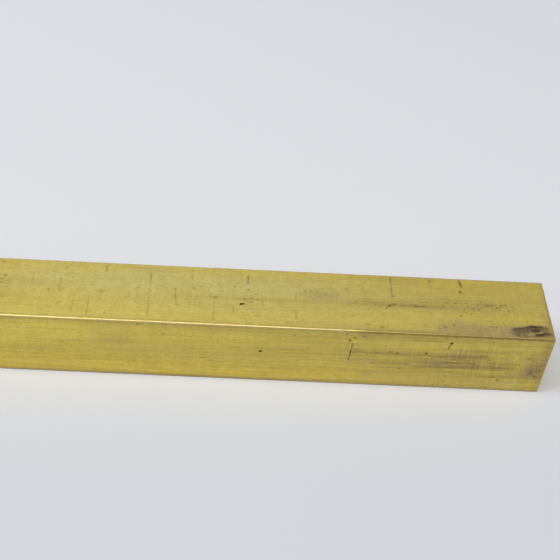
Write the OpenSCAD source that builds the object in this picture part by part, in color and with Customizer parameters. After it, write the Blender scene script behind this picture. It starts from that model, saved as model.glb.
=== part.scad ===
// Square brass bar: one drawn length, cut at both ends with a saw.
// It lies on one of its faces, along X. The origin is the middle of its underside.
// All sizes are in millimetres.

/* [Section] */
// Size across the flats, the bar's nominal size
across_flats = 25.4; // [12:0.1:60]
// Radius that the drawing die leaves along the four long corners
corner_r = 0.4; // [0.2:0.05:2]

/* [Cut ends] */
// Length from one sawn end to the other
cut_length = 304.8; // [100:0.1:1200]
// Size of the 45 degree edge break filed round each sawn end
end_break = 0.35; // [0.1:0.05:1.5]

/* [Hidden] */
// Arc steps for a full circle of the corner radius
corner_fn = 64;
// Half of the section, and half of the length
half_flat = across_flats / 2;
half_length = cut_length / 2;
// Distance from the section's middle to the centre of a corner's arc
arc_centre = half_flat - corner_r;
// How far the tools that file the ends reach past the bar's faces
clear = 1;

// The section that the die gives: a square with a true arc at each corner
module drawn_section() {
    square([across_flats, 2 * arc_centre], center = true);
    square([2 * arc_centre, across_flats], center = true);
    for (x = [-arc_centre, arc_centre], y = [-arc_centre, arc_centre])
        translate([x, y]) circle(r = corner_r, $fn = corner_fn);
}

// The section drawn out along X, with its ends still sharp from the saw
module drawn_length() {
    rotate([90, 0, 90])
        linear_extrude(height = cut_length, center = true)
            drawn_section();
}

// Side view of the cut length, with the four end edges broken at 45 degrees
module broken_outline() {
    flat = half_flat - end_break;
    edge = half_length - end_break;
    polygon([
        [-half_length, -flat], [-edge, -half_flat],
        [edge, -half_flat], [half_length, -flat],
        [half_length, flat], [edge, half_flat],
        [-edge, half_flat], [-half_length, flat]
    ]);
}

// The side view carried right through the bar, which breaks two edges of each end
module edge_breaks() {
    linear_extrude(height = across_flats + 2 * clear, center = true)
        broken_outline();
}

// The bar, standing on its lower face
module bar() {
    color([0.73, 0.66, 0.34])
        translate([0, 0, half_flat])
            intersection() {
                drawn_length();
                edge_breaks();
                rotate([90, 0, 0]) edge_breaks();
            }
}

bar();
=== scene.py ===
"""A square brass bar: drawn, sawn to length, a little tarnished and marked by handling.

The bar is one mesh. Its long faces, rounded long corners, filed edges and sawn ends are laid out as one
sheet that wraps round the bar, and the marks of handling are placed on that sheet at their real size.
"""

import math
import random
from collections import namedtuple

import bpy
import numpy as np
from bpy.props import FloatProperty, FloatVectorProperty, IntProperty, PointerProperty
from mathutils import Matrix, Vector, noise
from mathutils.geometry import delaunay_2d_cdt


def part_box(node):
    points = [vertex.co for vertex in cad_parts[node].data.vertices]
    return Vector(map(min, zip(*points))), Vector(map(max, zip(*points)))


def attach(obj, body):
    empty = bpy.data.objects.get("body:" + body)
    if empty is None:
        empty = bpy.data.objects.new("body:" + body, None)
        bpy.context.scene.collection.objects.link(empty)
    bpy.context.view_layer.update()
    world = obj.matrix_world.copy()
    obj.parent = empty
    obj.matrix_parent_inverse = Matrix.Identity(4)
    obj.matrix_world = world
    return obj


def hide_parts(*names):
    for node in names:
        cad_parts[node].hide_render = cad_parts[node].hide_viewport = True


bl_info = {
    "name": "Square Brass Bar",
    "version": (1, 0, 0),
    "blender": (4, 5, 0),
    "location": "View3D > Sidebar > Brass Bar",
    "description": "Builds a drawn and sawn square brass bar with its finish, its marks and a plain studio",
    "category": "Object",
}

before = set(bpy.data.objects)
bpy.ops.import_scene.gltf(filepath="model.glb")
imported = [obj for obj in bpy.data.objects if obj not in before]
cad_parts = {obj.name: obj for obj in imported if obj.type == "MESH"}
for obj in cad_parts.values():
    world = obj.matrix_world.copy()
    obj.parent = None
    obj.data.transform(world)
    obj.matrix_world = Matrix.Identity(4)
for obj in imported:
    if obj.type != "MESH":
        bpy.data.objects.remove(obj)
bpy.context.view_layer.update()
BAR_LOW, BAR_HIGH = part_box("bar")

# Real sizes on the bar are in millimetres, and the scene is in metres
MM = 0.001
FLATS = (BAR_HIGH.z - BAR_LOW.z) / MM
LENGTH = (BAR_HIGH.x - BAR_LOW.x) / MM

# The long faces in the order in which the sheet wraps round the bar, seen from the right-hand end
UPPER, FRONT, UNDER, BACK = SIDES = range(4)
GIRTH = 4 * FLATS
# How much of the bar, from its right-hand end, has its marks placed one by one
PLACED_LENGTH = 176

# A scratch or groove from one point to another, and a pit or fleck. Each point is (distance from the
# right-hand end, distance across the face from its first edge). Soil is how dark dirt has made it, or
# below zero how bare the metal is there; along the seen long corner and the front's foot a few strokes use
# it for painted shade. Past 1 the full dirt reaches further out from its middle.
Stroke = namedtuple("Stroke", "side start end width depth soil")
Spot = namedtuple("Spot", "side place size turn depth soil")
# A soft patch of film on the metal: its half sizes along and across the bar, its turn and its amount, or
# below zero how much of the film is wiped off there. Scuff is how far fine cross scratches show.
Film = namedtuple("Film", "side place half turn kind amount")
# A dent in the long corner after a side: where it is, how far it reaches each way and how deep it is
Ding = namedtuple("Ding", "side place reach depth")

FILM_KINDS = ("tarnish", "haze", "straw", "clean", "mauve", "grime", "copper", "scuff")
# The finish shares that the mesh keeps at its points, with the painted shade on the seen long corner
SHARE_KINDS = (*FILM_KINDS, "soil", "edge_wear", "painted_edge_shade")

# start, end, width, depth, soil
UPPER_STROKES = (
    ((27.5, 0.5), (27.0, 4.8), 0.60, 0.05, 1.00),
    ((28.4, 3.3), (28.3, 4.1), 0.35, 0.02, 0.30),
    ((27.4, 6.3), (27.1, 7.0), 0.45, 0.03, 0.55),
    ((37.3, 1.0), (37.1, 2.6), 0.70, 0.03, 0.50),
    ((37.1, 2.6), (37.0, 9.0), 0.40, 0.01, 0.22),
    ((50.0, 1.0), (50.0, 2.3), 0.55, 0.04, 0.60),
    ((50.0, 2.0), (49.9, 9.1), 0.50, 0.03, 0.50),
    ((52.4, 15.4), (51.3, 14.0), 0.60, 0.04, 0.60),
    ((51.3, 14.0), (50.5, 13.3), 0.80, 0.08, 1.00),
    ((50.5, 13.3), (48.6, 12.9), 0.65, 0.06, 0.85),
    ((48.0, 13.4), (44.2, 13.5), 0.80, 0.02, 0.26),
    ((44.0, 13.6), (39.6, 13.6), 0.90, 0.02, 0.36),
    ((39.6, 13.6), (33.5, 14.0), 1.00, 0.01, 0.09),
    ((66.8, 13.4), (60.6, 13.5), 0.50, 0.01, 0.20),
    ((60.6, 13.5), (53.5, 13.4), 0.80, 0.01, 0.22),
    ((100.0, 13.6), (66.0, 13.6), 0.50, 0.01, 0.08),
    ((80.7, 9.5), (80.6, 13.5), 0.45, 0.02, 0.30),
    ((80.6, 17.4), (80.5, 21.6), 0.45, 0.03, 0.50),
    ((96.1, 3.0), (96.0, 7.4), 0.60, 0.04, 0.62),
    ((127.3, 4.0), (127.1, 8.0), 0.50, 0.04, 0.56),
    ((127.1, 8.0), (126.8, 16.0), 0.45, 0.02, 0.28),
    ((126.8, 16.0), (126.5, 23.2), 0.50, 0.03, 0.40),
    ((119.0, 10.0), (118.7, 13.0), 0.45, 0.02, 0.38),
    ((118.8, 12.8), (118.4, 15.8), 0.50, 0.03, 0.56),
    ((118.4, 15.8), (117.8, 18.2), 0.50, 0.02, 0.40),
    ((114.2, 3.6), (114.0, 6.4), 0.50, 0.02, 0.46),
    ((114.0, 14.0), (113.9, 20.5), 0.40, 0.01, 0.26),
    ((112.5, 14.0), (112.4, 17.4), 0.45, 0.01, 0.26),
    ((110.9, 14.0), (110.8, 18.0), 0.40, 0.01, 0.22),
    ((106.3, 14.0), (106.2, 19.5), 0.45, 0.01, 0.28),
    ((106.2, 19.5), (106.1, 23.8), 0.50, 0.02, 0.40),
    ((100.4, 16.8), (100.0, 20.5), 0.60, 0.01, 0.26),
    ((141.9, 0.8), (141.8, 4.6), 0.50, 0.04, 0.60),
    ((142.0, 14.6), (142.0, 17.6), 0.60, 0.01, 0.24),
    ((145.6, 15.6), (145.3, 19.5), 0.45, 0.02, 0.34),
    ((145.3, 19.5), (145.2, 24.4), 0.45, 0.02, 0.42),
    ((150.2, 16.5), (150.0, 23.2), 0.50, 0.01, 0.22),
    ((164.5, 6.0), (164.4, 10.2), 0.50, 0.01, 0.28),
    ((155.6, 7.0), (155.0, 14.2), 0.70, 0.01, 0.26),
    ((132.2, 11.8), (130.2, 10.4), 0.60, 0.01, 0.34),
    ((133.5, 12.0), (133.3, 15.3), 0.60, 0.01, 0.30),
    ((131.6, 17.0), (128.6, 17.9), 0.60, 0.01, 0.26),
    ((20.8, 18.8), (18.8, 18.3), 0.50, 0.02, 0.42),
    ((2.1, 14.0), (3.0, 15.9), 0.60, 0.02, 0.34),
    # These three strokes along the seen long corner are painted shade: a dark line beside the corner's
    # highlight, where its reflection is dark
    ((176.0, 24.5), (63.0, 24.5), 0.60, 0.004, 0.30),
    ((63.0, 24.6), (36.0, 24.5), 0.65, 0.004, 0.32),
    ((36.0, 24.6), (0.6, 24.7), 0.50, 0.004, 0.16),
)

# place, size along and across, turn in degrees, depth, soil
UPPER_SPOTS = (
    ((27.6, 6.2), (1.0, 1.2), 0, 0.08, 0.90),
    ((49.6, 9.5), (1.4, 0.8), 0, 0.03, 0.62),
    ((97.4, 15.8), (1.4, 0.85), -4, 0.14, 1.60),
    ((98.0, 16.1), (0.8, 0.85), 0, 0.08, 1.50),
    ((96.9, 13.9), (1.0, 1.0), 25, 0.04, 0.50),
    ((94.6, 14.9), (1.5, 1.0), 0, 0.02, 0.32),
    ((94.6, 13.1), (1.3, 0.8), 0, 0.02, 0.28),
    ((95.8, 9.6), (1.1, 1.0), 0, 0.04, 0.50),
    ((92.9, 13.7), (1.2, 0.9), 0, 0.03, 0.39),
    ((92.5, 20.8), (2.2, 1.2), 0, 0.01, 0.25),
    ((100.2, 8.5), (0.9, 0.8), 0, 0.03, 0.44),
    ((104.4, 10.8), (1.4, 1.4), 0, 0.01, 0.25),
    ((91.1, 14.7), (0.5, 1.8), 0, 0.01, 0.24),
    ((105.2, 7.4), (1.4, 0.9), 0, 0.01, 0.22),
    ((106.0, 13.5), (1.8, 1.2), 0, 0.02, 0.39),
    ((107.6, 13.3), (1.2, 0.8), 0, 0.01, 0.25),
    ((111.9, 13.5), (0.9, 0.7), 0, 0.02, 0.37),
    ((113.3, 9.9), (1.0, 1.0), 0, 0.03, 0.41),
    ((114.2, 1.8), (1.2, 1.0), 0, 0.02, 0.34),
    ((117.8, 17.6), (0.9, 1.0), 0, 0.02, 0.32),
    ((53.8, 23.1), (1.7, 1.1), -15, 0.03, 0.52),
    ((52.4, 22.9), (1.4, 0.8), 10, 0.01, 0.24),
    ((58.0, 22.1), (1.3, 1.0), 0, 0.02, 0.34),
    ((58.5, 4.1), (1.6, 1.0), 0, 0.01, 0.29),
    ((58.0, 11.2), (3.4, 1.0), 0, 0.01, 0.28),
    ((57.7, 15.4), (1.0, 0.9), 0, 0.02, 0.37),
    ((52.5, 10.9), (0.7, 1.2), 0, 0.01, 0.29),
    ((62.5, 18.9), (1.2, 1.2), 0, 0.01, 0.29),
    ((64.4, 7.1), (1.2, 1.2), 0, 0.01, 0.25),
    ((67.3, 9.9), (1.1, 0.9), 0, 0.01, 0.27),
    ((68.8, 7.6), (1.3, 0.9), 0, 0.01, 0.25),
    ((69.8, 16.4), (1.2, 0.9), 0, 0.01, 0.25),
    ((68.3, 15.9), (1.0, 0.8), 0, 0.01, 0.27),
    ((71.1, 9.9), (1.8, 1.0), 0, 0.02, 0.30),
    ((74.0, 8.9), (1.4, 0.9), 0, 0.03, 0.32),
    ((75.9, 8.8), (1.0, 1.3), 0, 0.03, 0.34),
    ((77.6, 9.1), (1.4, 1.0), 20, 0.01, 0.29),
    ((83.0, 23.0), (3.0, 0.8), 0, 0.01, 0.27),
    ((42.4, 13.8), (1.3, 0.8), 0, 0.03, 0.62),
    ((40.4, 13.5), (1.2, 0.6), 0, 0.03, 0.60),
    ((33.8, 12.9), (1.4, 1.2), 0, 0.01, 0.29),
    ((29.6, 11.3), (1.4, 0.8), 0, 0.03, 0.60),
    ((32.3, 11.4), (1.2, 0.6), 0, 0.02, 0.34),
    ((26.3, 11.0), (1.0, 0.7), 0, 0.02, 0.31),
    ((24.6, 10.2), (0.8, 0.8), 0, 0.02, 0.29),
    ((22.5, 11.5), (0.8, 0.6), 0, 0.02, 0.29),
    ((21.5, 10.4), (0.7, 1.2), 0, 0.02, 0.41),
    ((19.6, 11.8), (1.2, 0.8), 0, 0.02, 0.43),
    ((18.0, 11.7), (1.4, 0.8), 0, 0.02, 0.43),
    ((16.5, 12.6), (0.9, 1.0), 0, 0.02, 0.46),
    ((15.0, 11.5), (0.9, 0.8), 0, 0.02, 0.38),
    ((13.8, 11.3), (1.1, 0.8), 0, 0.03, 0.60),
    ((11.6, 11.7), (0.7, 0.9), 0, 0.01, 0.31),
    ((13.1, 13.8), (1.4, 0.5), 0, 0.02, 0.54),
    ((16.0, 13.6), (0.9, 0.8), 0, 0.02, 0.34),
    ((28.5, 16.8), (1.0, 0.8), 0, 0.03, 0.60),
    ((25.2, 15.8), (0.7, 1.4), -20, 0.02, 0.41),
    ((26.5, 15.4), (0.8, 0.8), 0, 0.02, 0.31),
    ((24.6, 13.5), (0.8, 1.2), 0, 0.02, 0.41),
    ((22.7, 13.8), (0.9, 1.3), 0, 0.02, 0.46),
    ((40.0, 21.8), (2.2, 1.4), -30, 0.01, 0.29),
    ((34.0, 21.9), (1.0, 1.2), 0, 0.03, 0.50),
    ((35.8, 22.6), (0.7, 1.4), 0, 0.01, 0.34),
    ((31.2, 21.0), (1.5, 0.8), 15, 0.03, 0.46),
    ((24.6, 20.4), (1.6, 0.7), 0, 0.01, 0.29),
    ((19.6, 20.9), (1.8, 0.6), 15, 0.01, 0.43),
    ((17.9, 21.1), (0.9, 1.0), 0, 0.01, 0.41),
    ((16.5, 23.0), (0.7, 2.4), 0, 0.01, 0.24),
    ((8.0, 6.2), (1.8, 1.2), 0, 0.01, 0.19),
    ((173.2, 8.0), (1.2, 1.3), 20, 0.03, 0.52),
    ((174.2, 9.5), (0.8, 1.0), 0, 0.02, 0.41),
    ((173.8, 11.0), (1.0, 0.8), 0, 0.02, 0.44),
    ((175.2, 1.9), (1.2, 1.2), 0, 0.01, 0.32),
    ((172.0, 17.5), (1.0, 0.6), 0, 0.01, 0.29),
    ((158.6, 13.5), (1.0, 1.1), 20, 0.02, 0.50),
    ((155.0, 13.6), (1.5, 1.0), 0, 0.01, 0.25),
    ((155.3, 11.8), (1.4, 0.8), 0, 0.01, 0.29),
    ((155.7, 8.3), (1.1, 1.0), 0, 0.01, 0.29),
    ((154.7, 3.3), (1.6, 1.3), 0, 0.01, 0.29),
    ((154.6, 18.7), (1.4, 0.9), 0, 0.02, 0.37),
    ((141.8, 13.3), (1.9, 1.6), 0, 0.01, 0.29),
    ((139.7, 22.4), (0.8, 1.3), 0, 0.01, 0.29),
)

FRONT_STROKES = (
    # These three strokes under the seen long corner are painted shade: a dark line beside the corner's
    # highlight
    ((176.0, 0.75), (64.0, 0.75), 0.60, 0.004, 0.32),
    ((64.0, 0.55), (0.6, 0.55), 0.60, 0.004, 0.52),
    ((41.0, 0.55), (31.0, 0.55), 0.50, 0.004, 0.62),
    ((57.2, 0.6), (53.8, 0.6), 0.70, 0.01, 0.65),
    ((62.5, 5.6), (62.8, 9.4), 0.37, 0.10, 0.86),
    ((62.8, 8.4), (63.1, 12.8), 0.37, 0.12, 1.15),
    ((63.1, 12.6), (63.25, 13.6), 0.40, 0.10, 1.10),
    ((63.15, 5.8), (63.6, 12.0), 0.40, 0.00, -1.00),
    ((63.9, 5.0), (63.8, 8.6), 0.35, 0.02, 0.34),
    ((65.2, 1.0), (65.4, 2.0), 0.50, 0.00, -0.60),
    ((63.8, 0.9), (63.6, 1.6), 0.50, 0.00, -0.50),
    ((31.9, 3.9), (32.6, 6.6), 0.60, 0.05, 0.70),
    ((45.0, 2.8), (35.0, 2.8), 0.70, 0.01, 0.16),
    ((35.6, 10.3), (32.0, 10.3), 0.60, 0.01, 0.36),
    ((32.0, 10.0), (28.5, 9.9), 0.70, 0.01, 0.24),
    ((31.0, 11.2), (28.4, 11.2), 0.45, 0.01, 0.30),
    ((34.2, 12.7), (28.0, 12.7), 0.60, 0.01, 0.34),
    ((25.2, 12.8), (22.8, 12.8), 0.80, 0.01, 0.34),
    ((18.5, 12.3), (8.5, 12.3), 0.60, 0.01, 0.20),
    ((31.0, 14.4), (20.4, 14.4), 0.60, 0.01, 0.28),
    ((20.4, 14.4), (10.6, 14.5), 0.70, 0.02, 0.26),
    ((10.6, 14.5), (5.0, 14.6), 0.60, 0.01, 0.20),
    ((33.0, 15.4), (29.0, 15.4), 0.40, 0.01, 0.20),
    ((20.2, 18.9), (16.2, 18.9), 0.50, 0.01, 0.28),
    ((7.2, 9.2), (5.6, 9.2), 0.80, 0.01, 0.40),
    ((85.2, 10.1), (76.4, 10.2), 0.60, 0.01, 0.24),
    ((90.0, 10.6), (85.0, 10.4), 0.80, 0.01, 0.13),
    ((79.4, 14.2), (65.4, 14.3), 0.55, 0.01, 0.17),
    ((79.6, 14.2), (79.4, 15.6), 0.50, 0.01, 0.20),
    ((82.5, 15.6), (79.4, 15.6), 0.40, 0.01, 0.14),
    ((57.2, 9.6), (51.5, 9.6), 0.90, 0.01, 0.16),
    ((62.4, 8.3), (59.8, 8.3), 0.50, 0.01, 0.26),
    ((62.4, 10.0), (60.2, 10.0), 0.60, 0.01, 0.32),
    ((56.5, 14.4), (43.0, 14.2), 0.80, 0.01, 0.34),
    ((101.6, 9.8), (97.8, 9.8), 0.70, 0.01, 0.20),
    ((110.5, 15.4), (107.8, 15.3), 0.60, 0.01, 0.26),
    ((110.6, 14.0), (108.4, 13.9), 0.40, 0.01, 0.18),
    ((170.8, 13.8), (158.4, 13.8), 0.50, 0.01, 0.15),
    # This stroke along the foot is painted shade, a dark line where the bar meets the floor
    ((176.0, 24.8), (0.6, 24.8), 0.80, 0.004, 0.16),
)

FRONT_SPOTS = (
    ((31.8, 3.7), (1.2, 1.1), 0, 0.10, 1.00),
    ((39.0, 8.9), (0.9, 1.3), 0, 0.06, 0.80),
    ((37.5, 9.7), (0.9, 0.9), 0, 0.02, 0.36),
    ((36.9, 11.2), (0.7, 0.8), 0, 0.03, 0.50),
    ((21.2, 9.0), (1.8, 0.9), 0, 0.03, 0.46),
    ((20.0, 9.0), (0.8, 1.0), 0, 0.03, 0.50),
    ((20.4, 7.4), (0.8, 0.8), 0, 0.02, 0.28),
    ((18.8, 10.8), (1.4, 0.8), 0, 0.01, 0.30),
    ((9.0, 12.2), (1.0, 0.7), 0, 0.01, 0.30),
    ((63.5, 4.3), (0.9, 1.2), 0, 0.06, 0.75),
    ((62.1, 3.0), (1.0, 0.9), 20, 0.05, 0.70),
    ((64.6, 1.5), (0.7, 1.0), 0, 0.04, 0.50),
    ((59.4, 2.2), (1.4, 0.9), 0, 0.03, 0.34),
    ((80.8, 3.2), (1.2, 0.6), 0, 0.03, 0.40),
    ((50.3, 8.8), (1.4, 0.9), 0, 0.02, 0.36),
    ((48.1, 9.3), (1.3, 1.4), 0, 0.03, 0.36),
    ((46.5, 16.5), (1.4, 1.0), 0, 0.02, 0.34),
    ((57.5, 10.5), (1.0, 1.4), 0, 0.01, 0.26),
    ((91.2, 11.3), (1.05, 0.9), 0, 0.14, 1.45),
    ((129.2, 1.2), (0.7, 1.2), 0, 0.06, 0.60),
    ((120.8, 0.8), (1.8, 0.7), 0, 0.03, 0.50),
    ((121.3, 5.4), (1.8, 0.8), 0, 0.01, 0.18),
    ((113.0, 11.3), (2.0, 0.8), 0, 0.01, 0.16),
    ((106.7, 16.8), (1.8, 0.7), 0, 0.01, 0.26),
    ((131.9, 18.5), (1.2, 0.8), 0, 0.01, 0.24),
    ((130.4, 16.0), (0.9, 0.9), 0, 0.01, 0.18),
    ((153.8, 10.8), (1.6, 0.7), 0, 0.02, 0.30),
    ((160.7, 15.4), (2.2, 0.9), 0, 0.01, 0.20),
    ((138.8, 16.5), (1.4, 1.0), 0, 0.01, 0.20),
    ((16.0, 18.8), (1.8, 0.9), 0, 0.02, 0.42),
    ((14.2, 20.2), (1.6, 1.0), -25, 0.03, 0.52),
    ((13.3, 18.1), (0.9, 0.7), 0, 0.02, 0.34),
    ((31.5, 21.9), (1.4, 0.8), 0, 0.01, 0.28),
    ((34.6, 23.9), (0.9, 0.9), 0, 0.03, 0.50),
    ((30.4, 24.0), (1.2, 0.7), 0, 0.02, 0.36),
    ((17.3, 24.2), (0.9, 0.7), 0, 0.03, 0.50),
)

# place, half size along and across, turn in degrees, kind, amount
UPPER_FILMS = (
    ((120.0, 8.2), (64.0, 5.2), 0, "haze", 0.95),
    ((104.0, 17.5), (44.0, 4.5), 0, "haze", 0.35),
    ((108.0, 21.5), (50.0, 2.5), 0, "clean", 0.20),
    ((24.0, 5.5), (44.0, 8.0), 0, "tarnish", 0.13),
    ((28.0, 12.6), (17.0, 2.4), 0, "tarnish", 0.44),
    ((55.0, 13.3), (12.0, 1.5), 0, "tarnish", 0.36),
    ((72.5, 11.0), (6.5, 2.8), 0, "mauve", 0.40),
    ((19.5, 11.9), (3.4, 1.3), 0, "mauve", 0.42),
    ((42.5, 13.0), (3.2, 1.0), 0, "mauve", 0.36),
    ((96.6, 13.8), (2.0, 1.4), 0, "mauve", 0.22),
    ((95.0, 13.6), (26.0, 0.9), 0, "tarnish", 0.18),
    ((25.5, 22.8), (11.0, 2.9), 0, "mauve", 0.66),
    ((24.0, 22.9), (10.5, 2.4), 0, "tarnish", 0.12),
    ((34.6, 23.0), (1.8, 2.2), 0, "mauve", 0.45),
    ((30.0, 19.7), (2.4, 1.2), 0, "mauve", 0.35),
    ((47.0, 24.3), (20.0, 1.0), 0, "mauve", 0.35),
    ((76.0, 23.5), (16.0, 1.6), 0, "mauve", 0.14),
    ((176.0, 10.0), (9.0, 14.0), 0, "tarnish", 0.14),
    ((14.0, 17.3), (15.0, 1.8), 0, "straw", 0.45),
    ((55.0, 1.8), (45.0, 1.6), 0, "straw", 0.60),
    ((24.0, 4.5), (26.0, 4.5), 0, "straw", 0.35),
    ((3.6, 2.2), (2.2, 1.5), 0, "straw", 1.00),
    ((146.5, 3.4), (4.0, 1.5), 0, "straw", 0.60),
    ((168.0, 2.5), (8.0, 2.0), 0, "straw", 0.35),
    ((125.0, 2.6), (6.0, 1.7), 0, "mauve", 0.20),
    ((43.5, 3.8), (2.6, 1.1), 0, "mauve", 0.25),
    ((32.7, 21.4), (0.8, 0.7), 0, "clean", 0.80),
    ((0.4, 12.7), (1.0, 16.0), 0, "copper", 0.40),
    ((2.0, 17.0), (1.0, 2.4), 0, "copper", 0.30),
    ((0.9, 10.2), (1.0, 1.8), 0, "grime", 0.22),
    ((1.0, 18.5), (0.8, 1.6), 0, "grime", 0.26),
    ((15.4, 23.2), (1.5, 2.5), 0, "mauve", 0.65),
    ((12.3, 22.8), (2.6, 2.3), 0, "mauve", 0.95),
    ((7.4, 22.6), (5.5, 2.5), 0, "mauve", 1.00),
    ((2.2, 22.0), (1.8, 2.2), 0, "tarnish", 0.55),
    ((10.6, 22.7), (3.2, 2.3), 0, "grime", 0.62),
    ((8.6, 24.4), (3.2, 0.8), 0, "grime", 0.34),
    ((5.0, 22.0), (3.5, 2.2), 0, "grime", 0.48),
    ((11.7, 21.4), (1.8, 0.6), 14, "grime", 0.34),
    ((8.9, 20.8), (2.2, 0.6), 9, "grime", 0.42),
    ((5.4, 20.1), (2.6, 0.6), -2, "grime", 0.85),
    ((6.4, 21.4), (2.4, 1.5), 0, "grime", 0.50),
    ((5.5, 22.0), (1.1, 0.6), 0, "grime", 0.95),
    ((4.7, 23.6), (2.0, 0.8), 2, "grime", 0.95),
    ((1.6, 23.4), (1.8, 0.9), 0, "grime", 0.80),
    ((1.7, 24.2), (1.8, 0.8), 0, "copper", 0.55),
    ((2.6, 21.3), (1.9, 1.7), 0, "grime", 0.40),
    ((0.5, 17.0), (0.6, 4.0), 0, "grime", 0.34),
    ((8.3, 22.4), (0.5, 0.6), 0, "grime", 0.40),
    ((5.0, 22.8), (2.0, 0.35), 18, "grime", -0.62),
    ((7.9, 23.4), (0.9, 0.6), 0, "grime", -0.45),
    ((21.0, 14.0), (17.0, 4.5), 0, "scuff", 0.80),
    ((18.0, 22.8), (5.0, 2.6), 0, "scuff", 1.00),
    ((33.0, 21.0), (4.0, 3.5), 0, "scuff", 1.00),
)

FRONT_FILMS = (
    ((90.0, 12.7), (130.0, 16.0), 0, "straw", 0.28),
    # This straw band low on the front face is a painted reflection: the warm floor by the foot, mirrored in
    # the metal
    ((120.0, 20.8), (90.0, 2.7), 0, "straw", 0.60),
    ((166.0, 5.5), (24.0, 6.5), 0, "clean", 0.75),
    ((118.0, 6.0), (44.0, 5.0), 0, "clean", 0.45),
    ((118.0, 12.5), (52.0, 2.6), 0, "clean", 0.32),
    ((140.0, 21.0), (40.0, 2.0), 0, "clean", 0.22),
    ((118.0, 12.5), (36.0, 3.2), 0, "mauve", 0.20),
    ((137.5, 8.0), (6.0, 4.0), 0, "mauve", 0.25),
    ((90.0, 1.6), (110.0, 0.8), 0, "mauve", 0.20),
    ((26.5, 9.8), (6.2, 1.6), 0, "mauve", 0.80),
    ((26.0, 9.6), (7.5, 1.2), 0, "tarnish", 0.16),
    ((47.0, 9.6), (8.0, 1.1), 0, "mauve", 0.35),
    ((30.0, 14.2), (13.0, 1.0), 0, "mauve", 0.60),
    ((35.5, 12.8), (4.6, 2.2), 0, "mauve", 0.60),
    ((15.5, 14.5), (5.0, 0.6), 0, "mauve", 0.60),
    ((26.0, 14.4), (12.0, 0.6), 0, "tarnish", 0.35),
    ((28.0, 12.6), (6.0, 0.6), 0, "tarnish", 0.35),
    ((35.0, 4.6), (28.0, 2.6), 0, "clean", 0.22),
    ((52.0, 8.0), (12.0, 3.0), 0, "clean", 0.16),
    ((30.0, 16.9), (16.0, 1.0), 0, "clean", 0.20),
    ((38.0, 20.5), (22.0, 2.2), 0, "clean", 0.14),
    ((7.0, 20.5), (5.0, 3.0), 0, "clean", 0.20),
    ((8.0, 3.5), (5.0, 3.0), 0, "clean", 0.16),
    ((20.0, 16.6), (4.0, 0.6), 0, "clean", 0.40),
    ((26.0, 11.6), (6.0, 0.6), 0, "clean", 0.30),
    ((38.0, 6.0), (9.0, 1.6), 0, "clean", 0.14),
    ((28.0, 21.8), (26.0, 3.4), 0, "mauve", 0.28),
    ((60.5, 13.4), (5.0, 2.0), 0, "mauve", 0.28),
    ((28.0, 11.6), (18.0, 3.8), 0, "tarnish", 0.22),
    ((50.0, 10.2), (14.0, 2.8), 0, "tarnish", 0.32),
    ((80.0, 10.0), (20.0, 2.4), 0, "tarnish", 0.18),
    ((38.0, 1.8), (30.0, 2.4), 0, "tarnish", 0.20),
    ((16.0, 6.5), (10.0, 4.5), 0, "tarnish", 0.12),
    ((32.0, 17.0), (28.0, 3.2), 0, "tarnish", 0.22),
    ((61.0, 9.4), (1.9, 1.8), 0, "mauve", 0.32),
    ((59.0, 1.6), (2.4, 1.6), 0, "mauve", 0.50),
    ((50.0, 14.0), (7.5, 0.7), 0, "mauve", 0.35),
    ((57.0, 20.0), (1.8, 1.6), 0, "mauve", 0.30),
    ((3.6, 13.6), (3.4, 5.4), 0, "mauve", 0.62),
    ((3.4, 13.6), (3.4, 5.8), 0, "tarnish", 0.20),
    ((4.2, 15.6), (1.4, 2.3), 0, "mauve", 0.90),
    ((4.2, 15.9), (1.0, 1.8), 0, "grime", 0.32),
    ((2.9, 18.0), (1.2, 1.1), 0, "grime", 0.34),
    ((6.5, 17.4), (5.5, 1.5), 0, "mauve", 0.50),
    ((2.4, 2.6), (1.8, 1.2), 0, "tarnish", 0.30),
    ((1.0, 10.5), (1.8, 9.5), 0, "straw", 0.80),
    ((1.0, 11.5), (1.7, 8.5), 0, "tarnish", 0.34),
    ((0.7, 11.5), (1.5, 11.0), 0, "copper", 0.55),
    ((2.1, 5.4), (0.7, 2.6), -30, "copper", 0.45),
    ((20.0, 1.8), (22.0, 1.1), 0, "straw", 0.50),
    ((160.0, 16.0), (26.0, 7.0), 0, "straw", 0.50),
    ((15.0, 20.4), (10.0, 1.6), 0, "straw", 0.40),
    ((12.0, 2.7), (2.8, 1.6), 0, "straw", 0.80),
    ((4.8, 6.2), (1.9, 1.8), 0, "straw", 0.80),
    ((4.6, 21.0), (3.0, 1.9), 0, "straw", 1.00),
    ((23.0, 22.8), (3.2, 1.0), 0, "straw", 0.80),
    ((101.5, 22.3), (5.0, 1.3), 0, "straw", 1.00),
    ((123.0, 22.8), (7.0, 1.0), 0, "straw", 0.80),
    ((142.0, 23.0), (6.0, 1.0), 0, "straw", 0.80),
    ((170.0, 21.5), (4.0, 1.6), 0, "straw", 0.60),
    ((11.8, 23.0), (3.4, 1.8), 0, "haze", 1.00),
    ((11.6, 23.2), (3.0, 1.2), 0, "clean", 0.55),
    ((14.0, 12.5), (22.0, 12.0), 0, "scuff", 1.00),
    ((50.0, 10.0), (14.0, 4.0), 0, "scuff", 0.60),
    # This greyish band along the foot is painted shade where the bar meets the floor
    ((85.0, 24.8), (120.0, 0.8), 0, "mauve", 0.55),
)

# The visible long corner is the one after the upper face: side, distance from the end, reach and depth
CORNER_DINGS = (
    (UPPER, 129.2, 0.7, 0.10),
    (UPPER, 121.0, 1.4, 0.05),
    (UPPER, 64.6, 0.9, 0.12),
    (UPPER, 47.0, 1.8, 0.04),
    (UPPER, 8.0, 1.6, 0.06),
    (UPPER, 1.2, 1.2, 0.12),
)
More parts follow.
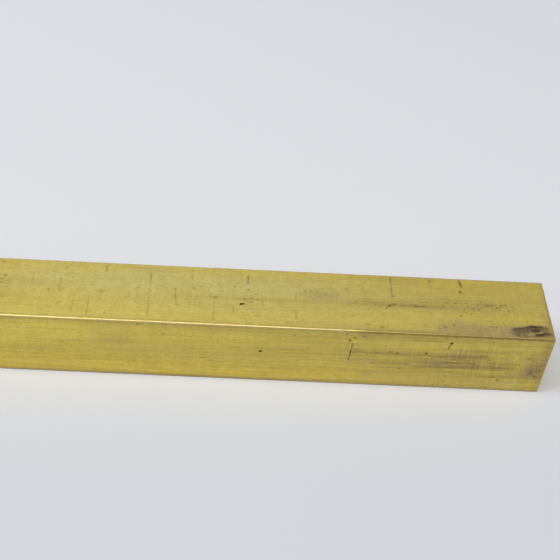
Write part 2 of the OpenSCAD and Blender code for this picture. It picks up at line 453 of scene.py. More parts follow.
# That corner's polish and painted shade: distances from the right-hand end, and how bright it is there, or
# below zero how much painted shade darkens it where its reflection fades
SEEN_CORNER_POLISH_AND_SHADE = ((0, 57, 67), (-0.95, -0.75, 0.8))
# How bright the other long corners are on average, and at least
CORNER_POLISH = 0.6
LEAST_POLISH = 0.1

# Random marks and dents stay this far from the ends
END_MARGIN = 2
# Random marks, where none are listed: seed, side, distance that they start from, and marks a metre
RANDOM_MARKS = (
    (11, UPPER, PLACED_LENGTH, 420),
    (12, FRONT, PLACED_LENGTH, 320),
    (13, BACK, END_MARGIN, 360),
    (14, UNDER, END_MARGIN, 420),
)
# Share of them that are strokes and not spots, and a stroke's width
STROKE_SHARE = 0.4
STROKE_WIDTH = 0.27
# Depth of a random mark where its soil is 1
DEPTH_OF_SOIL = 0.1
# Random films on one stretch of a side: kind, greatest amount and number
RANDOM_FILMS = (("tarnish", 0.4, 5), ("haze", 0.6, 4), ("straw", 0.5, 4))
# Those stretches: seed, side, and the distances from the end between which they lie
FILMED_STRETCHES = (
    (21, UPPER, PLACED_LENGTH + 10, LENGTH),
    (22, FRONT, PLACED_LENGTH + 10, LENGTH),
    (23, UNDER, 0, LENGTH / 2),
    (33, UNDER, LENGTH / 2, LENGTH),
    (24, BACK, 0, LENGTH / 2),
    (34, BACK, LENGTH / 2, LENGTH),
)
# Random dents: their seed, and how many each long corner has
DING_SEED = 31
DINGS_PER_CORNER = 6

# Parts of a side with a finer mesh for their stains: its side, distances from the end, and across it
FINE_PATCHES = (
    (UPPER, (0.9, 15.5), (19.0, 24.8)),
    (FRONT, (0.9, 6.5), (8.0, 19.5)),
)
FINE_STEP = 0.32
# Closest that the rings along the bar come to each other, and that a flat's points come to its rim
CLOSEST_RINGS = 0.12
CLEAR_OF_RIM = 0.12
# Closest that the finer points come to each other, and how far a flat's even grid keeps from them, as a
# share of its step
CLOSEST_POINTS = 0.07
CLEAR_OF_MARKS = 0.42
# Distance of a flat's first and last row from the rounded corners
ROW_BY_CORNER = 0.15
# Rings near a dent, as shares of its reach from its middle
DING_STATIONS = (-1.2, -0.8, -0.4, 0.0, 0.4, 0.8, 1.2)
# How far a mark reaches from its middle, as a share of its width or size
SPREAD_OF_STROKE = 0.9
SPREAD_OF_SPOT = 0.62
# Lines of points along a stroke, as shares of its reach, and the rings of points round a spot: how far out
# each is, how many points it has, and where it begins, in steps from one point to the next
STROKE_LINES = (-1.3, -0.9, -0.45, 0, 0.45, 0.9, 1.3)
SPOT_RINGS = ((0, 1, 0), (0.45, 6, 0), (0.8, 8, 0.5), (1.05, 10, 0), (1.4, 10, 0))
# Step between the points along a stroke, the step along one longer than LONG_STROKE, and how far past its
# ends they go
STROKE_STEP = 0.5
LONG_STEP = 0.9
LONG_STROKE = 12
PAST_STROKE = 0.3
# What the triangulation gives, which is only what is inside the rim, and how close its points may be
INSIDE_RIM = 1
TOO_CLOSE = 1e-5
# Points of two patches are one where they agree to this many decimals of a millimetre
JOINING_DECIMALS = 3

# The filed edge: how uneven it is, its least and greatest size and the room that the long faces leave for
# it, as shares of the even size, and its rings, as shares of a quarter turn
BREAK_WAVE = 0.7
BREAK_RANGE = (0.6, 1.6)
BREAK_ROOM = 1.8
BREAK_TURNS = (0, 0.33, 0.66, 1)
# How bright the filed edge is
BREAK_WEAR = 0.4
# The sawn faces' grid: its distance from their edges, and its steps across and up
SAWN_MARGIN = 1.0
SAWN_STEPS = (1.2, 0.35)
# The ends, -1 left and 1 right, and how far the saw's lines lean on each, as a rise for a width of 1
SAW_LEANS = ((-1, 0.09), (1, -0.06))
# Depth of the saw's lines, as shares of the depth set in the panel: the middle one, how far the fine and
# the broad ridges change it, and its least and greatest
SAW_SHARES = (0.5, 0.9, 0.5)
SAW_RANGE = (0, 1.4)
# Room between the parts of the skin in its flat map, and how many of its strips lie above each other
MAP_GAP = 0.5
MAP_ROWS = 7


def on_side(side, rows, kind):
    """The marks or films of one side, from a table of their rows."""
    return [kind(side, *row) for row in rows]


def handling_marks(seed, side, first, last, per_metre):
    """Random strokes and spots like the listed ones, on one side between two distances from the end."""
    draw = random.Random(seed)
    marks = []
    for _ in range(round(per_metre * (last - first) * MM)):
        place = (draw.uniform(first, last), draw.uniform(1.0, FLATS - 1.0))
        if draw.random() < STROKE_SHARE:
            reach = draw.uniform(1.5, 9.0)
            across = min(place[1] + reach, FLATS - 0.8)
            lean = draw.uniform(-0.08, 0.08) * reach
            soil = draw.uniform(0.10, 0.34)
            end = (place[0] + lean, across)
            marks.append(Stroke(side, place, end, STROKE_WIDTH, DEPTH_OF_SOIL * soil, soil))
        else:
            size = (draw.uniform(0.7, 1.6), draw.uniform(0.5, 1.0))
            soil = draw.uniform(0.14, 0.42)
            marks.append(Spot(side, place, size, draw.uniform(-30, 30), DEPTH_OF_SOIL * soil, soil))
    return marks


def handling_films(seed, side, first, last):
    """Random bands of film like the listed ones, on one side between two distances from the end."""
    draw = random.Random(seed)
    films = []
    for kind, amount, count in RANDOM_FILMS:
        for _ in range(count):
            place = (draw.uniform(first, last), draw.uniform(2.0, FLATS - 2.0))
            half = (draw.uniform(10, 45), draw.uniform(1.0, 3.5))
            films.append(Film(side, place, half, 0, kind, amount * draw.uniform(0.4, 1.0)))
    return films


def all_marks():
    """Every stroke and spot on the bar: those listed one by one, and random ones where the bar isn't shown.
    """
    marks = on_side(UPPER, UPPER_STROKES, Stroke) + on_side(UPPER, UPPER_SPOTS, Spot)
    marks += on_side(FRONT, FRONT_STROKES, Stroke) + on_side(FRONT, FRONT_SPOTS, Spot)
    for seed, side, first, per_metre in RANDOM_MARKS:
        marks += handling_marks(seed, side, first, LENGTH - END_MARGIN, per_metre)
    return marks


def all_films():
    """Every patch of film on the bar."""
    films = on_side(UPPER, UPPER_FILMS, Film) + on_side(FRONT, FRONT_FILMS, Film)
    for seed, side, first, last in FILMED_STRETCHES:
        films += handling_films(seed, side, first, last)
    return films


def all_dings():
    """Every dent in the long corners."""
    dings = [Ding(*row) for row in CORNER_DINGS]
    draw = random.Random(DING_SEED)
    for side in SIDES:
        first = PLACED_LENGTH if side == UPPER else END_MARGIN
        for _ in range(DINGS_PER_CORNER):
            place = draw.uniform(first, LENGTH - END_MARGIN)
            reach = draw.uniform(0.5, 2.0)
            dings.append(Ding(side, place, reach, draw.uniform(0.03, 0.1)))
    return dings


# The skin is one sheet wrapped round the bar: x runs along it, and s runs round it in millimetres from the
# upper face's back edge. v is the distance across one face from its first edge.


def along(distance):
    """Place x along the bar of a distance from its right-hand end."""
    return LENGTH / 2 - distance


def section_point(s, radius):
    """Points (y, z) of the drawn section at the places s round it, and the way into the metal there."""
    s = np.asarray(s, float) % GIRTH
    half = FLATS / 2
    side = np.floor(s / FLATS).astype(int) % 4
    v = s - side * FLATS
    # In the side's own plane: across it from its middle, and down into the metal
    across = v - half
    depth = np.zeros_like(s)
    angle = np.zeros_like(s)
    late = v > FLATS - radius
    early = v < radius
    angle[late] = (v[late] - (FLATS - radius)) / radius * math.pi / 4
    angle[early] = -(radius - v[early]) / radius * math.pi / 4
    bent = late | early
    across[bent] = np.sign(across[bent]) * (half - radius) + radius * np.sin(angle[bent])
    depth[bent] = radius * (1 - np.cos(angle[bent]))
    inward_across = -np.sin(angle)
    inward_down = np.cos(angle)
    # Each side's own directions in (y, z): across it, and down into the metal
    runs = np.array([(-1, 0), (0, -1), (1, 0), (0, 1)], float)[side]
    downs = np.array([(0, -1), (1, 0), (0, 1), (-1, 0)], float)[side]
    middle = np.array([0, half])
    points = middle + runs * across[:, None] + downs * (depth - half)[:, None]
    inward = runs * inward_across[:, None] + downs * inward_down[:, None]
    return points, inward


def spread(first, last, step):
    """Evenly spaced numbers from first to last, about a step apart."""
    return np.linspace(first, last, max(2, round(abs(last - first) / step) + 1))


def stroke_points(mark):
    """Points (distance, v) in lines along one stroke, from a little before it to a little past it."""
    start, end = np.array(mark.start, float), np.array(mark.end, float)
    run = end - start
    length = np.hypot(*run)
    run /= length
    side_way = np.array([-run[1], run[0]])
    step = STROKE_STEP if length < LONG_STROKE else LONG_STEP
    past = PAST_STROKE / length
    shares = np.linspace(-past, 1 + past, max(4, round(length / step)))
    offsets = SPREAD_OF_STROKE * mark.width * np.array(STROKE_LINES)
    return np.array([start + run * length * t + side_way * o for t in shares for o in offsets])


def spot_points(mark):
    """Points (distance, v) in rings round the middle of one spot."""
    turn = math.radians(mark.turn)
    points = []
    for share, count, begin in SPOT_RINGS:
        for i in range(count):
            a = 2 * math.pi * (i + begin) / count
            u = share * SPREAD_OF_SPOT * mark.size[0] * math.cos(a)
            w = share * SPREAD_OF_SPOT * mark.size[1] * math.sin(a)
            turned = (u * math.cos(turn) - w * math.sin(turn), u * math.sin(turn) + w * math.cos(turn))
            points.append(np.array(mark.place) + turned)
    return np.array(points)


def mark_points(mark):
    """Points (x, v) that give one mark its own fine mesh."""
    points = stroke_points(mark) if isinstance(mark, Stroke) else spot_points(mark)
    points[:, 0] = along(points[:, 0])
    return points


def thinned(points, others, gap):
    """The points that lie further than a gap from all the others."""
    if len(others) == 0 or len(points) == 0:
        return points
    keep = np.ones(len(points), bool)
    others = others[np.argsort(others[:, 0])]
    first = np.searchsorted(others[:, 0], points[:, 0] - gap)
    last = np.searchsorted(others[:, 0], points[:, 0] + gap)
    for i in np.flatnonzero(last > first):
        near = others[first[i] : last[i]] - points[i]
        keep[i] = (near**2).sum(1).min() > gap**2
    return points[keep]


def spaced(points, gap):
    """The points with those left out that lie in the same small square as an earlier one."""
    _, first = np.unique(np.round(points / gap), axis=0, return_index=True)
    return points[np.sort(first)]


def filled(rim, inner):
    """Corners and triangles of a flat patch, from the points of its rim in order and its inner points."""
    points = [Vector(p) for p in np.vstack([rim, inner])]
    outline = [list(range(len(rim)))]
    corners, _, triangles, *_ = delaunay_2d_cdt(points, [], outline, INSIDE_RIM, TOO_CLOSE, False)
    return np.array([tuple(c) for c in corners]), triangles


def lies_inside(rim, point):
    """Whether a point lies inside a closed rim, which a line from it to the right then crosses an odd number
    of times."""
    first, second = rim, np.roll(rim, -1, axis=0)
    crossed = (first[:, 1] > point[1]) != (second[:, 1] > point[1])
    first, second = first[crossed], second[crossed]
    share = (point[1] - first[:, 1]) / (second[:, 1] - first[:, 1])
    return (first[:, 0] + share * (second[:, 0] - first[:, 0]) > point[0]).sum() % 2 == 1


class BarSheet:
    """Gathers the patches of the bar's skin and joins them where they meet."""

    def __init__(self):
        self.places, self.params, self.faces = [], [], []
        self.count = 0

    def add(self, places, params, faces):
        """Adds a patch: its points in space, their (x, s, end) and its faces. The end is 0 on the long
        faces, 1 or -1 on a sawn face, and between them on the filed edge. On a sawn face s is -1."""
        self.places.append(places)
        self.params.append(params)
        self.faces += [tuple(i + self.count for i in f) for f in faces]
        self.count += len(places)

    def joined(self):
        """All the patches as one skin. Points that lie on each other become one."""
        places, params = np.vstack(self.places), np.vstack(self.params)
        rounded = np.round(places, JOINING_DECIMALS)
        _, first, index = np.unique(rounded, axis=0, return_index=True, return_inverse=True)
        index = index.ravel()
        faces = [tuple(index[i] for i in f) for f in self.faces]
        faces = [f for f in faces if len(set(f)) == len(f)]
        return places[first], params[first], faces


def bar_rows(shape):
    """Distances across a face at which its rows of points lie, with a row close to each rounded corner."""
    radius, step = shape.corner_radius / MM, shape.grid_step / MM
    inner = spread(radius + ROW_BY_CORNER, FLATS - radius - ROW_BY_CORNER, step)
    return np.concatenate([[radius], inner, [FLATS - radius]])


def bar_stations(shape, dings):
    """Places along the bar at which its rings of points lie, closer together near each corner's dents."""
    reach = LENGTH / 2 - shape.end_break * BREAK_ROOM / MM
    stations = list(spread(-reach, reach, shape.grid_step / MM))
    for ding in dings:
        stations += [along(ding.place) + ding.reach * t for t in DING_STATIONS]
    stations = np.sort([x for x in stations if abs(x) <= reach])
    apart = np.concatenate([[True], np.diff(stations) > CLOSEST_RINGS])
    apart[-1] = True
    return stations[apart]


def fine_patches(side):
    """Points (x, v) of the fine grids over a side's stains."""
    grids = []
    for patch_side, reach, across in FINE_PATCHES:
        if patch_side == side:
            lengthwise = spread(along(reach[1]), along(reach[0]), FINE_STEP)
            grid = np.meshgrid(lengthwise, spread(*across, FINE_STEP))
            grids.append(np.column_stack([axis.ravel() for axis in grid]))
    return grids


def add_long_faces(sheet, shape, stations, rows, marks):
    """The four flats. Each has an even grid, and a finer mesh of its own round each mark."""
    radius, step = shape.corner_radius / MM, shape.grid_step / MM
    low, high = rows[0], rows[-1]
    rim = [(x, low) for x in stations] + [(stations[-1], v) for v in rows[1:-1]]
    rim += [(x, high) for x in stations[::-1]] + [(stations[0], v) for v in rows[-2:0:-1]]
    rim = np.array(rim)
    grid_x = spread(stations[0], stations[-1], step)[1:-1]
    grid = np.array([(x, v) for x in grid_x for v in rows[1:-1]])
    for side in SIDES:
        extra = np.vstack([mark_points(m) for m in marks if m.side == side] + fine_patches(side))
        inside = (extra[:, 1] > low + CLEAR_OF_RIM) & (extra[:, 1] < high - CLEAR_OF_RIM)
        inside &= np.abs(extra[:, 0]) < stations[-1] - CLEAR_OF_RIM
        extra = spaced(extra[inside], CLOSEST_POINTS)
        inner = np.vstack([extra, thinned(grid, extra, CLEAR_OF_MARKS * step)])
        corners, triangles = filled(rim, inner)
        s = side * FLATS + corners[:, 1]
        points, _ = section_point(s, radius)
        places = np.column_stack([corners[:, 0], points])
        params = np.column_stack([corners[:, 0], s, np.zeros(len(s))])
        sheet.add(places, params, [t[::-1] for t in triangles])


def add_long_corners(sheet, shape, stations):
    """The four rounded long corners, each a strip of short arcs."""
    radius = shape.corner_radius / MM
    for side in SIDES:
        ring = (side + 1) * FLATS + spread(-radius, radius, 2 * radius / shape.corner_steps)
        points, _ = section_point(ring, radius)
        count = len(ring)
        places = np.array([(x, *p) for x in stations for p in points])
        params = np.array([(x, s, 0) for x in stations for s in ring])
        faces = []
        for i in range(len(stations) - 1):
            for j in range(i * count, (i + 1) * count - 1):
                faces.append((j, j + 1, j + 1 + count, j + count))
        sheet.add(places, params, faces)


def waves(places, pace, line, layer):
    """Smooth unevenness, between -1 and 1, at places along a line of a noise. pace is how fast it changes,
    and line and layer choose which of the noise's lines it is."""
    lines = np.broadcast_to(line, len(places))
    return np.array([noise.noise(Vector((t * pace, row, layer))) for t, row in zip(places, lines)])


def file_break(shape, s, end):
    """Size of the filed edge at the places s round one end: hand filing leaves it uneven."""
    uneven = waves(s, 0.35, end * 7.3, 2.1)
    return shape.end_break / MM * np.clip(1 + BREAK_WAVE * uneven, *BREAK_RANGE)


def add_filed_edge(sheet, shape, ring, start, end):
    """The filed edge round one end, from the long faces to the sawn face. Gives the sawn face's rim."""
    points, _ = section_point(ring, shape.corner_radius / MM)
    middle = np.array([0, FLATS / 2])
    count = len(ring)
    size = file_break(shape, ring % GIRTH, end)
    places, params = [], []
    for turn in BREAK_TURNS:
        a = turn * math.pi / 2
        short = (size if turn else np.full(count, start)) * (1 - math.sin(a))
        shrink = 1 - size * (1 - math.cos(a)) / (FLATS / 2)
        flat = middle + (points - middle) * shrink[:, None]
        x = end * (LENGTH / 2 - short)
        places.append(np.column_stack([x, flat]))
        params.append(np.column_stack([x, ring, np.full(count, turn * end)]))
    faces = []
    for first in range(0, (len(BREAK_TURNS) - 1) * count, count):
        for j in range(count):
            a, b = first + j, first + (j + 1) % count
            quad = (a, a + count, b + count, b)
            faces.append(quad if end < 0 else quad[::-1])
    sheet.add(np.vstack(places), np.vstack(params), faces)
    return places[-1][:, 1:]


def add_sawn_face(sheet, rim, end):
    """One sawn face, still flat. Its grid is finer upward, across the saw's marks."""
    ys = spread(-FLATS / 2 + SAWN_MARGIN, FLATS / 2 - SAWN_MARGIN, SAWN_STEPS[0])
    zs = spread(SAWN_MARGIN, FLATS - SAWN_MARGIN, SAWN_STEPS[1])
    corners, triangles = filled(rim, np.array([(y, z) for y in ys for z in zs]))
    # The uneven rim is hollow in places, and the triangles that span it there are outside the metal
    triangles = [t for t in triangles if lies_inside(rim, corners[list(t)].mean(0))]
    if end < 0:
        triangles = [t[::-1] for t in triangles]
    count = len(corners)
    x = np.full(count, end * LENGTH / 2)
    params = np.column_stack([x, np.full(count, -1.0), np.full(count, end)])
    sheet.add(np.column_stack([x, corners]), params, triangles)


def add_ends(sheet, shape, stations, rows):
    """Both ends of the bar."""
    radius = shape.corner_radius / MM
    arcs = spread(-radius, radius, 2 * radius / shape.corner_steps)[:-1]
    ring = []
    for side in SIDES:
        ring += [*(side * FLATS + rows[:-1]), *((side + 1) * FLATS + arcs)]
    for end in (-1, 1):
        rim = add_filed_edge(sheet, shape, np.array(ring), LENGTH / 2 - stations[-1], end)
        add_sawn_face(sheet, rim, end)


def stroke_shares(mark, x, v):
    """How strongly a stroke acts at each point of its side: 1 in its middle, 0 past its edge."""
    start, end = (np.array((along(p[0]), p[1])) for p in (mark.start, mark.end))
    run = end - start
    length = np.hypot(*run)
    run = run / length
    dx, dv = x - start[0], v - start[1]
    t = (dx * run[0] + dv * run[1]) / length
    off = np.abs(-dx * run[1] + dv * run[0]) / (SPREAD_OF_STROKE * mark.width)
    # It thins out towards its ends, and comes and goes a little along its run
    fade = min(0.9, 0.4 * length)
    ends = np.clip(np.minimum(t, 1 - t) * length / fade + 0.3, 0, 1)
    wear = 0.78 + 0.22 * np.sin(t * length * 1.9 + 3 * start[0])
    return np.clip(1 - off**2, 0, 1) ** 1.5 * ends * wear


def in_patch(patch, half, x, v):
    """Where points lie in a turned spot or film, along and across it, as shares of its half sizes."""
    turn = math.radians(patch.turn)
    dx, dv = x - along(patch.place[0]), v - patch.place[1]
    u = (dx * math.cos(turn) - dv * math.sin(turn)) / half[0]
    w = (dx * math.sin(turn) + dv * math.cos(turn)) / half[1]
    return u, w


def spot_shares(mark, x, v):
    """How strongly a spot acts at each point of its side: 1 in its middle, 0 past its edge."""
    u, w = in_patch(mark, [SPREAD_OF_SPOT * size for size in mark.size], x, v)
    return np.clip(1 - (u**2 + w**2) ** 1.2, 0, 1)


def film_shares(film, x, s):
    """How much of one film lies at each point of the sheet. It thins out softly past its half sizes."""
    v = s - film.side * FLATS
    v = (v + GIRTH / 2) % GIRTH - GIRTH / 2
    u, w = in_patch(film, film.half, x, v)
    return film.amount * np.exp(-np.abs(u) ** 3 - np.abs(w) ** 2.4)


def press_marks(marks, x, s, long_side, depth, shares):
    """Presses every stroke and spot into the skin's depth, and lays its dirt or its bare metal."""
    for mark in marks:
        # Only the points near a mark can feel it: this is its reach along the bar from its middle
        if isinstance(mark, Stroke):
            reach = abs(mark.start[0] - mark.end[0]) / 2 + 1.5
            middle, acts = along((mark.start[0] + mark.end[0]) / 2), stroke_shares
        else:
            reach, middle, acts = max(mark.size), along(mark.place[0]), spot_shares
        near = long_side & (np.abs(x - middle) < reach) & (np.floor(s / FLATS) % 4 == mark.side)
        share = acts(mark, x[near], s[near] % GIRTH - mark.side * FLATS)
        depth[near] = np.maximum(depth[near], mark.depth * share**1.5)
        kind = "soil" if mark.soil > 0 else "clean"
        shares[kind][near] = np.maximum(shares[kind][near], abs(mark.soil) * share)


def lay_films(films, x, s, shares):
    """Lays every film in turn, or wipes off what lies there."""
    near = s >= 0
    for film in films:
        share = film_shares(film, x[near], s[near])
        laid = 1 - (1 - shares[film.kind][near]) * (1 - np.clip(share, 0, 1))
        shares[film.kind][near] = laid * (1 - np.clip(-share, 0, 1))


def press_dings(dings, radius, x, s, long_side, depth):
    """Presses every dent into a long corner."""
    for ding in dings:
        corner = (ding.side + 1) * FLATS
        off = np.abs((s - corner + GIRTH / 2) % GIRTH - GIRTH / 2)
        u = (x - along(ding.place)) / ding.reach
        # It fades softly along the corner, and evenly across it to nothing a little way onto the flats
        share = np.exp(-(u**2) * 2.2) * np.clip(1 - off / (2.2 * radius), 0, 1)
        depth[long_side] = np.maximum(depth, ding.depth * share)[long_side]


def worn_skin(shape, places, params, marks, films, dings):
    """Presses the marks and dents into the skin. Gives the new points and each finish's share at them."""
    radius = shape.corner_radius / MM
    x, s, end = params.T
    long_side = (s >= 0) & (np.abs(end) < 0.01)
    shares = {kind: np.zeros(len(x)) for kind in SHARE_KINDS}
    depth = np.zeros(len(x))
    press_marks(marks, x, s, long_side, depth, shares)
    lay_films(films, x, s, shares)
    press_dings(dings, radius, x, s, long_side, depth)

    # The corners' polish fades out over the edges of the flats
    off_corner = np.abs((s + FLATS / 2) % FLATS - FLATS / 2)
    on_corner = np.where(s >= 0, np.clip(1.4 - off_corner / (1.3 * radius), 0, 1), 0)
    bright = corner_polish_and_shade(x, s)
    on_break = np.where(s >= 0, BREAK_WEAR * np.abs(end), 0)
    shares["edge_wear"] = np.maximum(on_corner * np.maximum(bright, 0), on_break)
    # On the seen corner the share below zero is painted shade, laid in the tarnish colour where the corner's
    # reflection fades
    shares["painted_edge_shade"] = on_corner * np.maximum(-bright, 0)

    _, inward = section_point(np.where(s >= 0, s, 0), radius)
    worn = places.copy()
    worn[:, 1:] += inward * np.where(long_side, depth, 0)[:, None]
    for which, lean in SAW_LEANS:
        cut = (s < 0) & (end == which)
        worn[cut, 0] -= which * saw_marks(shape, worn[cut, 1], worn[cut, 2], lean)
    return worn, shares


def corner_polish_and_shade(x, s):
    """How bright handling has rubbed the long corners at each point, or below zero how much painted shade
    darkens the seen corner where its reflection fades.
    """
    corner = np.round(s / FLATS).astype(int) % 4
    level = np.clip(CORNER_POLISH + waves(x, 0.05, corner * 7.7, 3.3), LEAST_POLISH, 1)
    seen = np.interp(LENGTH / 2 - x, *SEEN_CORNER_POLISH_AND_SHADE)
    return np.where(corner == UPPER + 1, seen, level)


def saw_marks(shape, y, z, lean):
    """Depth of the saw's ridges on an end: a band saw's teeth leave nearly level lines, with some deeper."""
    level = (z + lean * y) / (shape.saw_pitch / MM)
    middle, fine, broad = SAW_SHARES
    share = middle + fine * waves(level, 1.0, 0.3, 5.0) + broad * waves(level, 0.22, 9.0, 1.0)
    return shape.saw_depth / MM * np.clip(share, *SAW_RANGE)


def unrolled(mesh, params, gap):
    """Lays the skin out flat in the bake's square map, in millimetres and then as shares of the map. Each
    long face is two strips, for the bar's two halves. The last strip stands to the right of the others,
    below the ends."""
    layer = mesh.uv_layers.new(name="OFBake")
    coordinates = np.array([v.co for v in mesh.vertices]) / MM
    half_length = LENGTH / 2
    pitch = FLATS + gap
    size = MAP_ROWS * pitch + gap
    column = half_length + 2 * gap
    room = size - 2 * pitch - 2 * gap
    for polygon in mesh.polygons:
        loops = list(polygon.loop_indices)
        ids = [mesh.loops[i].vertex_index for i in loops]
        x, s, end = params[ids].T
        right = x.mean() > 0
        if (np.abs(end) > 0).sum() >= 2:
            u = column + coordinates[ids, 1] + FLATS / 2
            v = size - (1 if right else 2) * pitch + coordinates[ids, 2]
        else:
            if s.max() - s.min() > GIRTH / 2:
                s = np.where(s < GIRTH / 2, s + GIRTH, s)
            side = int(s.mean() // FLATS) % 4
            over = (s - side * FLATS) % GIRTH
            over = np.where(over > GIRTH / 2, over - GIRTH, over)
            run = x if right else x + half_length
            row = 2 * side + right
            if row < MAP_ROWS:
                u, v = gap + run, gap + row * pitch + over
            else:
                u, v = column + over, gap + run * room / half_length
        for loop, a, b in zip(loops, u / size, v / size):
            layer.data[loop].uv = (a, b)


def skin_mesh(shape):
    """The whole bar as one closed mesh, with the share of each finish kept at its points."""
    marks, films, dings = all_marks(), all_films(), all_dings()
    rows, stations = bar_rows(shape), bar_stations(shape, dings)
    sheet = BarSheet()
    add_long_faces(sheet, shape, stations, rows, marks)
    add_long_corners(sheet, shape, stations)
    add_ends(sheet, shape, stations, rows)
    places, params, faces = sheet.joined()
    worn, shares = worn_skin(shape, places, params, marks, films, dings)
    mesh = bpy.data.meshes.new("drawn_bar")
    mesh.from_pydata((worn * MM).tolist(), [], faces)
    for kind, values in shares.items():
        mesh.attributes.new(kind, "FLOAT", "POINT").data.foreach_set("value", values.astype(np.float32))
    for polygon in mesh.polygons:
        polygon.use_smooth = True
        polygon.material_index = int(max(params[i, 1] for i in polygon.vertices) < 0)
    unrolled(mesh, params, MAP_GAP)
    return mesh


# How the nodes stand in the editor: how many in a row, and how far apart
NODES_IN_ROW = 12
NODE_PITCH = (190, -220)


class NodeBoard:
    """Adds nodes to a tree and joins them. An input takes a number, a colour or another node's output."""

    def __init__(self, tree):
        self.tree = tree
        self.tree.nodes.clear()

    def add(self, kind, inputs=(), **settings):
        """A new node of that kind, with its settings and its inputs by name or number."""
        node = self.tree.nodes.new(kind)
        row, column = divmod(len(self.tree.nodes), NODES_IN_ROW)
        node.location = (NODE_PITCH[0] * column, NODE_PITCH[1] * row)
        for name, value in settings.items():
            setattr(node, name, value)
        for key, value in dict(inputs).items():
            if isinstance(value, bpy.types.NodeSocket):
                self.tree.links.new(value, node.inputs[key])
            else:
                node.inputs[key].default_value = value
        return node

    def maths(self, operation, first, second, clamp=False):
        """A Math node's result."""
        node = self.add("ShaderNodeMath", {0: first, 1: second}, operation=operation, use_clamp=clamp)
        return node.outputs[0]

    def times(self, first, *others):
        """The product of two or more values."""
        for other in others:
            first = self.maths("MULTIPLY", first, other)
        return first

    def vector(self, operation, inputs, output="Vector"):
        """A Vector Math node's result."""
        return self.add("ShaderNodeVectorMath", inputs, operation=operation).outputs[output]

    def share(self, name):
        """One of the mesh's own finish shares."""
        return self.add("ShaderNodeAttribute", attribute_name=name).outputs["Fac"]

    def grain(self, place, stretch, detail, roughness, shift=(0, 0, 0)):
        """Noise at a place in millimetres. stretch is how many of its cells fit in a millimetre each way."""
        mapped = self.add("ShaderNodeMapping", {"Vector": place, "Scale": stretch, "Location": shift})
        inputs = {"Vector": mapped.outputs[0], "Scale": 1.0, "Detail": detail, "Roughness": roughness}
        return self.add("ShaderNodeTexNoise", inputs).outputs["Fac"]

    def step(self, value, low, high, bottom=0.0, top=1.0, curve="SMOOTHSTEP"):
        """A step from bottom to top as the value goes from low to high, soft unless the curve is linear."""
        inputs = {"Value": value, "From Min": low, "From Max": high, "To Min": bottom, "To Max": top}
        return self.add("ShaderNodeMapRange", inputs, interpolation_type=curve).outputs["Result"]

    def blend(self, share, first, second, kind="MIX"):
        """Two colours blended by a share."""
        inputs = {0: share, 6: first, 7: second}
        node = self.add("ShaderNodeMix", inputs, data_type="RGBA", blend_type=kind)
        return node.outputs[2]

    def shaded(self, tone, shade):
        """A colour times a shade."""
        grey = self.add("ShaderNodeCombineColor", {0: shade, 1: shade, 2: shade}).outputs[0]
        return self.blend(1.0, tone, grey, "MULTIPLY")

    def seen(self):
        """1 for the rays by which the camera or the metal sees, and 0 for the light that falls on things."""
        path = self.add("ShaderNodeLightPath").outputs
        mirrored = self.maths("MAXIMUM", path["Is Glossy Ray"], path["Is Transmission Ray"])
        return self.maths("MAXIMUM", mirrored, path["Is Camera Ray"])

    def finish_with(self, tone, rough, relief, height, strength):
        """The metal's shader and the material's output. height is that of the relief, in millimetres."""
        inputs = {"Height": relief, "Distance": height * MM, "Strength": strength}
        bump = self.add("ShaderNodeBump", inputs).outputs[0]
        inputs = {"Base Color": tone, "Metallic": 1.0, "Roughness": rough, "Normal": bump}
        shader = self.add("ShaderNodeBsdfPrincipled", inputs)
        self.add("ShaderNodeOutputMaterial", {"Surface": shader.outputs[0]})


def linear(colour):
    """A colour property with the alpha that a socket wants."""
    return (*colour, 1.0)


def new_board(name):
    """A new material, and the board for its nodes."""
    material = bpy.data.materials.new(name)
    material.use_nodes = True
    return material, NodeBoard(material.node_tree)


def grains_on_bar(board, rows):
    """Noises by name at the place on the bar in millimetres, from a table of their rows."""
    coordinates = board.add("ShaderNodeTexCoord").outputs["Object"]
    place = board.vector("SCALE", {0: coordinates, "Scale": 1 / MM})
    return {name: board.grain(place, *row) for name, row in rows.items()}


# Noises: how many of their cells fit in a millimetre each way, their detail, their roughness and their shift
DRAWN_GRAINS = {
    "drawn_lines": ((0.05, 4.2, 4.2), 2.0, 0.6),
    "streaks": ((0.035, 1.0, 1.0), 3.0, 0.6, (7, 3, 1)),
    "blotches": ((0.32, 0.42, 0.42), 4.0, 0.65, (1, 5, 9)),
    "mottle": ((0.8, 1.1, 1.1), 3.0, 0.7, (4, 2, 7)),
    "cross_lines": ((1.1, 0.10, 0.10), 4.0, 0.6, (2, 2, 4)),
    "scratches": ((1.7, 0.20, 0.20), 2.0, 0.6, (5, 8, 3)),
    "flecks": ((1.0, 1.5, 1.5), 2.0, 0.5, (9, 1, 6)),
}
SAWN_GRAINS = {
    "cut_lines": ((0.1, 0.22, 5.5), 3.0, 0.6, (0, 0, 2)),
    "broad_lines": ((0.1, 0.03, 0.9), 2.0, 0.5, (5, 0, 1)),
    "stains": ((0.1, 0.16, 0.22), 4.0, 0.6, (3, 6, 1)),
    "flecks": ((1.0, 1.6, 1.6), 2.0, 0.5, (2, 9, 4)),
}


